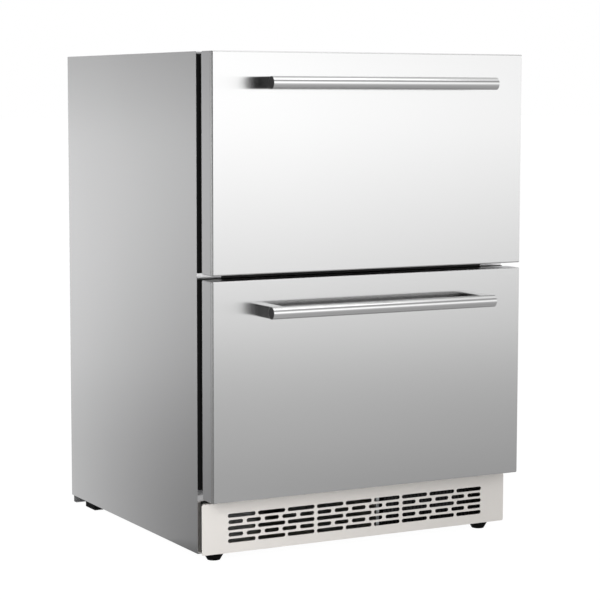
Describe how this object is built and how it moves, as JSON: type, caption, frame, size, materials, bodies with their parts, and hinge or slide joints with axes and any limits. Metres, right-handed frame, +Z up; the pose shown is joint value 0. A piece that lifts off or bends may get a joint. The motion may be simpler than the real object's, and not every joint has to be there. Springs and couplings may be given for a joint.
{
  "type": "undercounter drawer refrigerator",
  "caption": "Undercounter refrigerator with stacked pull-out drawers behind insulated steel fronts with tube handles, over a slotted kick plate and a compressor base.",
  "frame": {"origin": "on the floor, under the middle of the whole outline, handles included", "axes": "+Z up, the drawers open towards -Y, +X to the right seen from the front"},
  "size_m": [0.607, 0.6834, 0.857],
  "materials": {
    "cabinet_steel": "brushed satin",
    "front_steel": "brushed satin",
    "tray_steel": "brushed satin",
    "kick_plate_steel": "satin",
    "handle_steel": "polished along its length",
    "bin_steel": "satin",
    "zinc_steel": "zinc plated",
    "galvanised_steel": "galvanised",
    "dark_steel": "dark painted",
    "motor_steel": "zinc grey",
    "coil_steel": "black enamel",
    "coil_aluminium": "mill finish",
    "black_enamel": "black enamel",
    "copper": "drawn copper",
    "liner_plastic": "smooth",
    "lamp_lens": "frosted",
    "grey_plastic": "moulded",
    "black_plastic": "moulded",
    "cap_plastic": "moulded",
    "rubber": "soft black",
    "foam": "foamed"
  },
  "bodies": {
    "cabinet": {"left_side_panel": "cabinet_steel", "right_side_panel": "cabinet_steel", "top_panel": "cabinet_steel", "rear_panel": "galvanised_steel", "liner": "liner_plastic", "cabinet_insulation": "foam", "mullion": "cabinet_steel", "mullion_cover": "black_plastic", "lower_rail": "cabinet_steel", "base_pan": "galvanised_steel", "rear_feet": "black_plastic", "rear_rail": "dark_steel", "kick_plate": "kick_plate_steel", "air_baffle": "galvanised_steel", "condenser": "coil_steel", "condenser_shroud": "galvanised_steel", "condenser_motor": "motor_steel", "compressor": "black_enamel", "compressor_grommets": "rubber", "relay_cover": "black_plastic", "discharge_line": "copper", "evaporation_pan": "grey_plastic", "drain_tube": "grey_plastic", "control_box": "grey_plastic", "rear_bay_cover": "galvanised_steel", "cord_gland": "black_plastic", "evaporator_cover": "liner_plastic", "evaporator_motor": "motor_steel", "evaporator": "coil_aluminium", "suction_line": "copper", "lamp": "lamp_lens", "upper_cabinet_slides": "zinc_steel", "lower_cabinet_slides": "zinc_steel"},
    "condenser_fan": {"condenser_fan": "black_plastic"},
    "evaporator_fan": {"evaporator_fan": "black_plastic"},
    "left_front_foot": {"left_front_foot": "black_plastic"},
    "right_front_foot": {"right_front_foot": "black_plastic"},
    "upper_drawer": {"upper_front_skin": "front_steel", "upper_front_tray": "tray_steel", "upper_front_foam": "foam", "upper_gasket": "rubber", "upper_handle_tube": "handle_steel", "upper_handle_caps": "cap_plastic", "upper_handle_posts": "handle_steel", "upper_handle_screws": "zinc_steel", "upper_drawer_slides": "zinc_steel", "upper_bin": "bin_steel"},
    "upper_middle_slides": {"upper_middle_slides": "zinc_steel"},
    "lower_drawer": {"lower_front_skin": "front_steel", "lower_front_tray": "tray_steel", "lower_front_foam": "foam", "lower_gasket": "rubber", "lower_handle_tube": "handle_steel", "lower_handle_caps": "cap_plastic", "lower_handle_posts": "handle_steel", "lower_handle_screws": "zinc_steel", "lower_drawer_slides": "zinc_steel", "lower_bin": "bin_steel"},
    "lower_middle_slides": {"lower_middle_slides": "zinc_steel"}
  },
  "joints": [
    {"name": "upper_drawer_slide", "type": "slide", "parent": "cabinet", "child": "upper_drawer", "axis": [0, -1, 0], "range_m": [0, 0.42]},
    {"name": "upper_middle_slide", "type": "slide", "parent": "cabinet", "child": "upper_middle_slides", "axis": [0, -1, 0], "range_m": [0, 0.21]},
    {"name": "lower_drawer_slide", "type": "slide", "parent": "cabinet", "child": "lower_drawer", "axis": [0, -1, 0], "range_m": [0, 0.42]},
    {"name": "lower_middle_slide", "type": "slide", "parent": "cabinet", "child": "lower_middle_slides", "axis": [0, -1, 0], "range_m": [0, 0.21]},
    {"name": "condenser_fan_spin", "type": "hinge", "parent": "cabinet", "child": "condenser_fan", "pos_m": [0.15975, -0.1243, 0.06025], "axis": [0, 1, 0], "continuous": true},
    {"name": "evaporator_fan_spin", "type": "hinge", "parent": "cabinet", "child": "evaporator_fan", "pos_m": [0, 0.24775, 0.388], "axis": [0, 1, 0], "continuous": true},
    {"name": "left_front_foot_turn", "type": "hinge", "parent": "cabinet", "child": "left_front_foot", "pos_m": [-0.268, -0.21425, 0], "axis": [0, 0, 1], "continuous": true},
    {"name": "right_front_foot_turn", "type": "hinge", "parent": "cabinet", "child": "right_front_foot", "pos_m": [0.268, -0.21425, 0], "axis": [0, 0, 1], "continuous": true}
  ],
  "couplings": [
    {"joint": "upper_middle_slide", "follows": "upper_drawer_slide", "ratio": 0.5},
    {"joint": "lower_middle_slide", "follows": "lower_drawer_slide", "ratio": 0.5}
  ]
}
